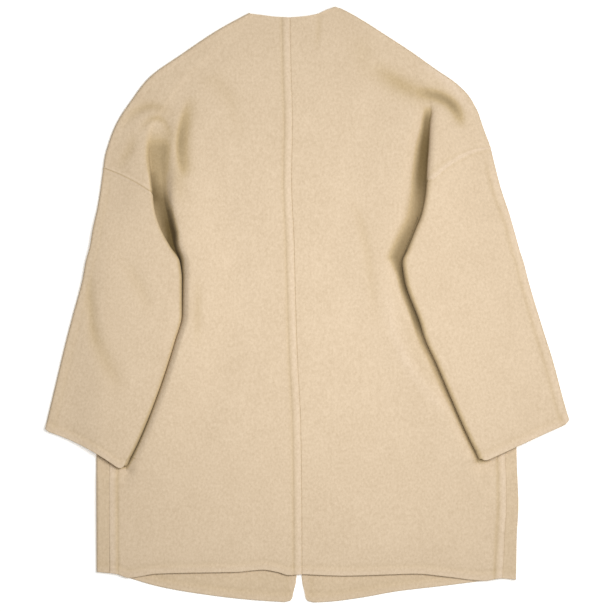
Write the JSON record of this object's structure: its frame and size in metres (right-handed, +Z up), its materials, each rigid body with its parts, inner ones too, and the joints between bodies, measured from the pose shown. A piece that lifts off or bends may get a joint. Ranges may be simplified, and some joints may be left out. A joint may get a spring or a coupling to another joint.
{
  "type": "collarless coat",
  "caption": "Unlined collarless wool coat with dropped shoulders, wide sleeves and open fronts, laid flat back up with the sleeves over its sides.",
  "frame": {"origin": "on the floor under the middle of the laid-out coat", "axes": "+Y from hem to neck, +X to the wearer's right, +Z up away from the floor"},
  "size_m": [0.7881, 0.8937, 0.0172],
  "materials": {
    "wool": "napped double-faced wool, matt"
  },
  "bodies": {
    "root": {"back_left": "wool", "back_right": "wool", "front_left": "wool", "front_right": "wool", "sleeve_back_left": "wool", "sleeve_back_right": "wool", "sleeve_front_left": "wool", "sleeve_front_right": "wool"}
  },
  "joints": []
}
